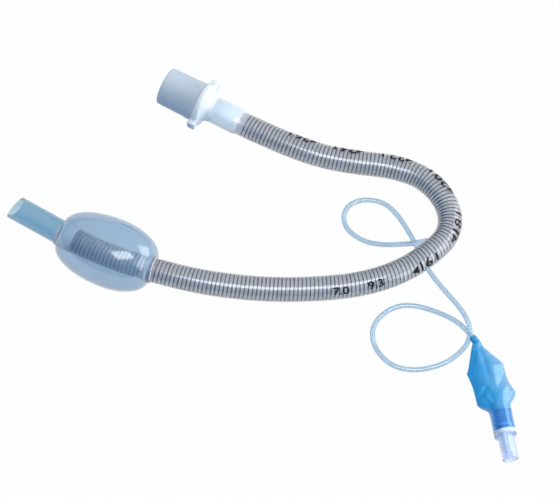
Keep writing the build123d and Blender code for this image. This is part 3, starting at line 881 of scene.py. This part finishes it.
# Valve spring: steel wire wound in a helix, from the tail plug to the plunger's head. It shortens as
# the plunger goes in.
SPRING_R = 1.65 * MM
SPRING_WIRE_R = 0.19 * MM
SPRING_TURNS = 5
SPRING_STEPS_A_TURN = 32
SPRING_FOOT = -10.8 * MM  # from the sleeve's mouth
SPRING_HEAD = -3.82 * MM
spring_foot = sleeve_mouth + valve_dir * SPRING_FOOT
spring_head = sleeve_mouth + valve_dir * SPRING_HEAD
spring_length = (spring_head - spring_foot).length
spring_line = Line([spring_foot, spring_foot.lerp(spring_head, 0.5), spring_head])
spring = wound_wire(
    "valve_spring_wire", spring_line, start=SPRING_WIRE_R, end=spring_length - SPRING_WIRE_R,
    radius=SPRING_R, pitch=(spring_length - 2 * SPRING_WIRE_R) / SPRING_TURNS, wire_r=SPRING_WIRE_R,
    steps=SPRING_STEPS_A_TURN, roundness=3,
)
spring_steel, spring_shader = plain_material("spring_steel", (0.12, 0.2, 0.26), Metallic=0.85)
uneven_gloss(spring_steel, spring_shader, scale=900, low=0.3, high=0.45)
spring.data.materials.append(spring_steel)
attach(spring, "tube")
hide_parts("valve_spring")
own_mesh(spring)

# Camera: above the table and a little in front, as the object was seen.
VIEW_ELEVATION = radians(67)
VIEW_DISTANCE = 800 * MM
VIEW_MIDDLE = metres((17, -23, 0))
VIEW_LENS = 136.3
VIEW_SENSOR = 36
camera = bpy.data.objects.new("camera", bpy.data.cameras.new("camera"))
scene.collection.objects.link(camera)
camera.data.lens = VIEW_LENS
camera.data.sensor_width = VIEW_SENSOR
camera.location = VIEW_MIDDLE - Vector((0, cos(VIEW_ELEVATION), -sin(VIEW_ELEVATION))) * VIEW_DISTANCE
camera.rotation_euler = (pi / 2 - VIEW_ELEVATION, 0, 0)
scene.camera = camera

# Table and light: a blue table that shows white, one soft pane overhead and a little in front, a
# window of two panes on the right, and a sky that is white behind and deep blue low in front.
TABLE_REACH = 3.0
TABLE_COLOUR = (0.05, 0.25, 0.5)
TABLE_GLOW = 0.985  # the share of white that is seen, on which a shadow still shows
table_shape = bmesh.new()
bmesh.ops.create_grid(table_shape, x_segments=1, y_segments=1, size=TABLE_REACH)
table = mesh_object("table", table_shape)
paper = bpy.data.materials.new("table_paper")
paper.use_nodes = True
nodes, links = paper.node_tree.nodes, paper.node_tree.links
nodes.clear()
out = nodes.new("ShaderNodeOutputMaterial")
matt = nodes.new("ShaderNodeBsdfDiffuse")
matt.inputs["Color"].default_value = (*TABLE_COLOUR, 1)
glow = nodes.new("ShaderNodeEmission")
glow.inputs["Strength"].default_value = 1.0
rays = nodes.new("ShaderNodeLightPath")
seen = nodes.new("ShaderNodeMath")
seen.operation = "MAXIMUM"
either = nodes.new("ShaderNodeMath")
either.operation = "MAXIMUM"
glow_share = nodes.new("ShaderNodeMath")
glow_share.operation = "MULTIPLY"
glow_share.inputs[1].default_value = TABLE_GLOW
mix = nodes.new("ShaderNodeMixShader")
links.new(rays.outputs["Is Glossy Ray"], either.inputs[0])
links.new(rays.outputs["Is Transmission Ray"], either.inputs[1])
links.new(rays.outputs["Is Camera Ray"], seen.inputs[0])
links.new(either.outputs[0], seen.inputs[1])
links.new(seen.outputs[0], glow_share.inputs[0])
links.new(glow_share.outputs[0], mix.inputs["Fac"])
links.new(matt.outputs[0], mix.inputs[1])
links.new(glow.outputs[0], mix.inputs[2])
links.new(mix.outputs[0], out.inputs["Surface"])
table.data.materials.append(paper)

SKY_DIM = (0.02, 0.13, 0.32)
SKY_BRIGHT = (0.95, 0.97, 1.0)
SKY_LEAN = Vector((0.4, 0.5, 0.76)).normalized()  # towards its brightest part
SKY_FROM, SKY_TO = 0.1, 0.75  # share of the way to there
SKY_STRENGTH = 0.6
world = bpy.data.worlds.new("sky")
scene.world = world
world.use_nodes = True
nodes, links = world.node_tree.nodes, world.node_tree.links
ways = nodes.new("ShaderNodeTexCoord")
lean = nodes.new("ShaderNodeVectorMath")
lean.operation = "DOT_PRODUCT"
lean.inputs[1].default_value = SKY_LEAN
rise = nodes.new("ShaderNodeMapRange")
rise.interpolation_type = "SMOOTHSTEP"
rise.inputs["From Min"].default_value = SKY_FROM
rise.inputs["From Max"].default_value = SKY_TO
sky = nodes.new("ShaderNodeMix")
sky.data_type = "RGBA"
sky.inputs["A"].default_value = (*SKY_DIM, 1)
sky.inputs["B"].default_value = (*SKY_BRIGHT, 1)
links.new(ways.outputs["Generated"], lean.inputs[0])
links.new(lean.outputs["Value"], rise.inputs["Value"])
links.new(rise.outputs["Result"], sky.inputs["Factor"])
links.new(sky.outputs["Result"], nodes["Background"].inputs["Color"])
nodes["Background"].inputs["Strength"].default_value = SKY_STRENGTH

PANE_AIM = Vector((0.01, -0.02, 0))
# each row: a pane's name, its place, its width and height in metres, and its power in watts
PANES = [
    ("top_pane", (0.12, -0.28, 0.91), 0.6, 0.34, 3.2),
    ("right_pane_near", (0.74, -0.39, 0.34), 0.64, 0.62, 3.4),
    ("right_pane_far", (0.81, 0.24, 0.36), 0.58, 0.62, 3.4),
]
for name, place, width, height, power in PANES:
    pane = bpy.data.lights.new(name, "AREA")
    pane.shape = "RECTANGLE"
    pane.size = width
    pane.size_y = height
    pane.energy = power
    lamp = bpy.data.objects.new(name, pane)
    scene.collection.objects.link(lamp)
    lamp.location = place
    lamp.rotation_euler = (PANE_AIM - Vector(place)).to_track_quat("-Z", "Y").to_euler()
